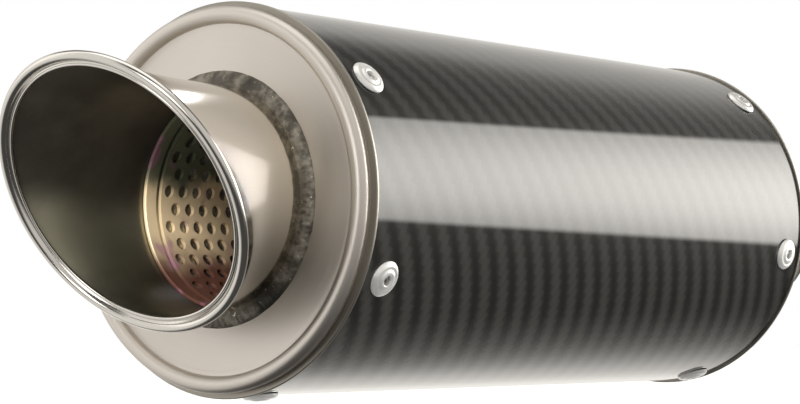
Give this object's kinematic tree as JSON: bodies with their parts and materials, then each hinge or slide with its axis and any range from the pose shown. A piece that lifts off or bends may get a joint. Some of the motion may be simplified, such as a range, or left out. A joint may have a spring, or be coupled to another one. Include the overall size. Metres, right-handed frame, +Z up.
{
  "type": "exhaust muffler",
  "caption": "Round slip-on motorcycle muffler: carbon sleeve, riveted stainless end caps, flared slash-cut outlet tip, clamped inlet socket and a rubber-mounted hanger tab.",
  "frame": {"origin": "centre of the inlet socket's open mouth, on the muffler's axis", "axes": "+X along the muffler's axis out of the inlet mouth (the outlet tip is at -X), +Z up with the long side of the slash-cut tip on top, +Y the side with the hanger tab"},
  "size_m": [0.3156, 0.1249, 0.103],
  "materials": {
    "carbon": "glossy clear coat over twill-woven carbon fibre",
    "stainless": "circular brushed, warm grey",
    "stainless_tip": "polished, slightly heat-tinted inside",
    "weld": "rough rippled weld bead with heat tint",
    "rivet": "bright satin",
    "rivet_pin": "plain broken pin",
    "core": "heat-tinted straw to purple, punched",
    "steel_wool": "matted fine steel wool",
    "packing": "matted glass fibre",
    "rubber": "matte moulded",
    "zinc_steel": "zinc plated",
    "clamp_steel": "satin stainless strip",
    "nylon": "plain nylon"
  },
  "bodies": {
    "muffler": {"carbon_sleeve": "carbon", "outlet_ring": "stainless", "outlet_cap": "stainless", "outlet_tip": "stainless_tip", "tip_rim": "stainless_tip", "outlet_weld": "weld", "outlet_rivets": "rivet", "outlet_rivet_pins": "rivet_pin", "perforated_core": "core", "core_collar": "core", "steel_wool_wrap": "steel_wool", "glass_packing": "packing", "inlet_ring": "stainless", "inlet_cap": "stainless", "inlet_pipe": "stainless", "inlet_weld": "weld", "inlet_rivets": "rivet", "inlet_rivet_pins": "rivet_pin", "hanger_tab": "stainless", "hanger_weld": "weld", "hanger_grommet": "rubber", "hanger_bush": "zinc_steel"},
    "clamp": {"clamp_band": "clamp_steel", "clamp_barrels": "zinc_steel", "clamp_bolt": "zinc_steel", "clamp_head_saddle": "clamp_steel"},
    "nut_saddle": {"clamp_nut_saddle": "clamp_steel"},
    "nut": {"clamp_nut": "zinc_steel", "clamp_nut_insert": "nylon"}
  },
  "joints": [
    {"name": "clamp_turn", "type": "hinge", "parent": "muffler", "child": "clamp", "pos_m": [-0.011, 0, 0], "axis": [1, 0, 0], "continuous": true},
    {"name": "saddle_slide", "type": "slide", "parent": "clamp", "child": "nut_saddle", "axis": [0, 0, 1], "range_m": [0, 0.004]},
    {"name": "nut_turn", "type": "hinge", "parent": "nut_saddle", "child": "nut", "pos_m": [-0.011, 0.03056, 0.0165], "axis": [0, 0, 1], "range_deg": [0, 1440]}
  ],
  "couplings": [
    {"joint": "nut_turn", "follows": "saddle_slide", "rad_per_m": 6283.2}
  ]
}
